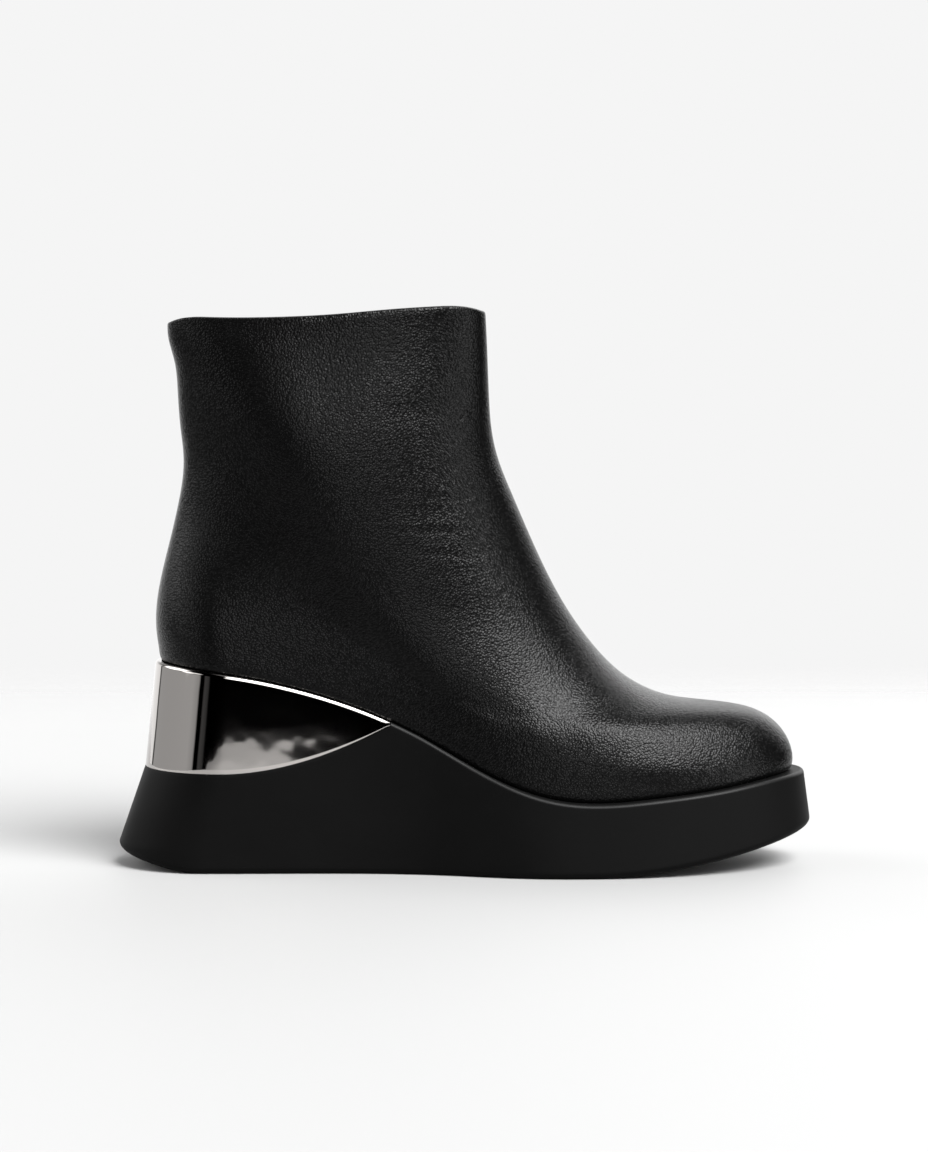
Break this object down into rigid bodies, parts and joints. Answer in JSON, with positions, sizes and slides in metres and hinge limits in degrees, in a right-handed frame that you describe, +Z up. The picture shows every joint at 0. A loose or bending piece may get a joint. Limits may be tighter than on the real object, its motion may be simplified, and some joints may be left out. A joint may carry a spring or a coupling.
{
  "type": "wedge platform ankle boot",
  "caption": "Right ankle boot: plain black leather upper, open collar, wedge platform sole with a thin ledge, and a mirror band round the heel.",
  "frame": {"origin": "on the floor, under the middle of the boot's box", "axes": "+X from heel to toe, +Y to the inner side of the foot, +Z up"},
  "size_m": [0.2712, 0.0974, 0.2177],
  "materials": {
    "upper_leather": "smooth black leather with a fine grain and a soft sheen",
    "sole_rubber": "matt black moulded sole material",
    "heel_mirror": "dark smoked mirror plating",
    "insole_lining": "matt black lining leather"
  },
  "bodies": {
    "root": {"upper": "upper_leather", "sole": "sole_rubber", "heel_cover": "heel_mirror", "insole": "insole_lining"}
  },
  "joints": []
}
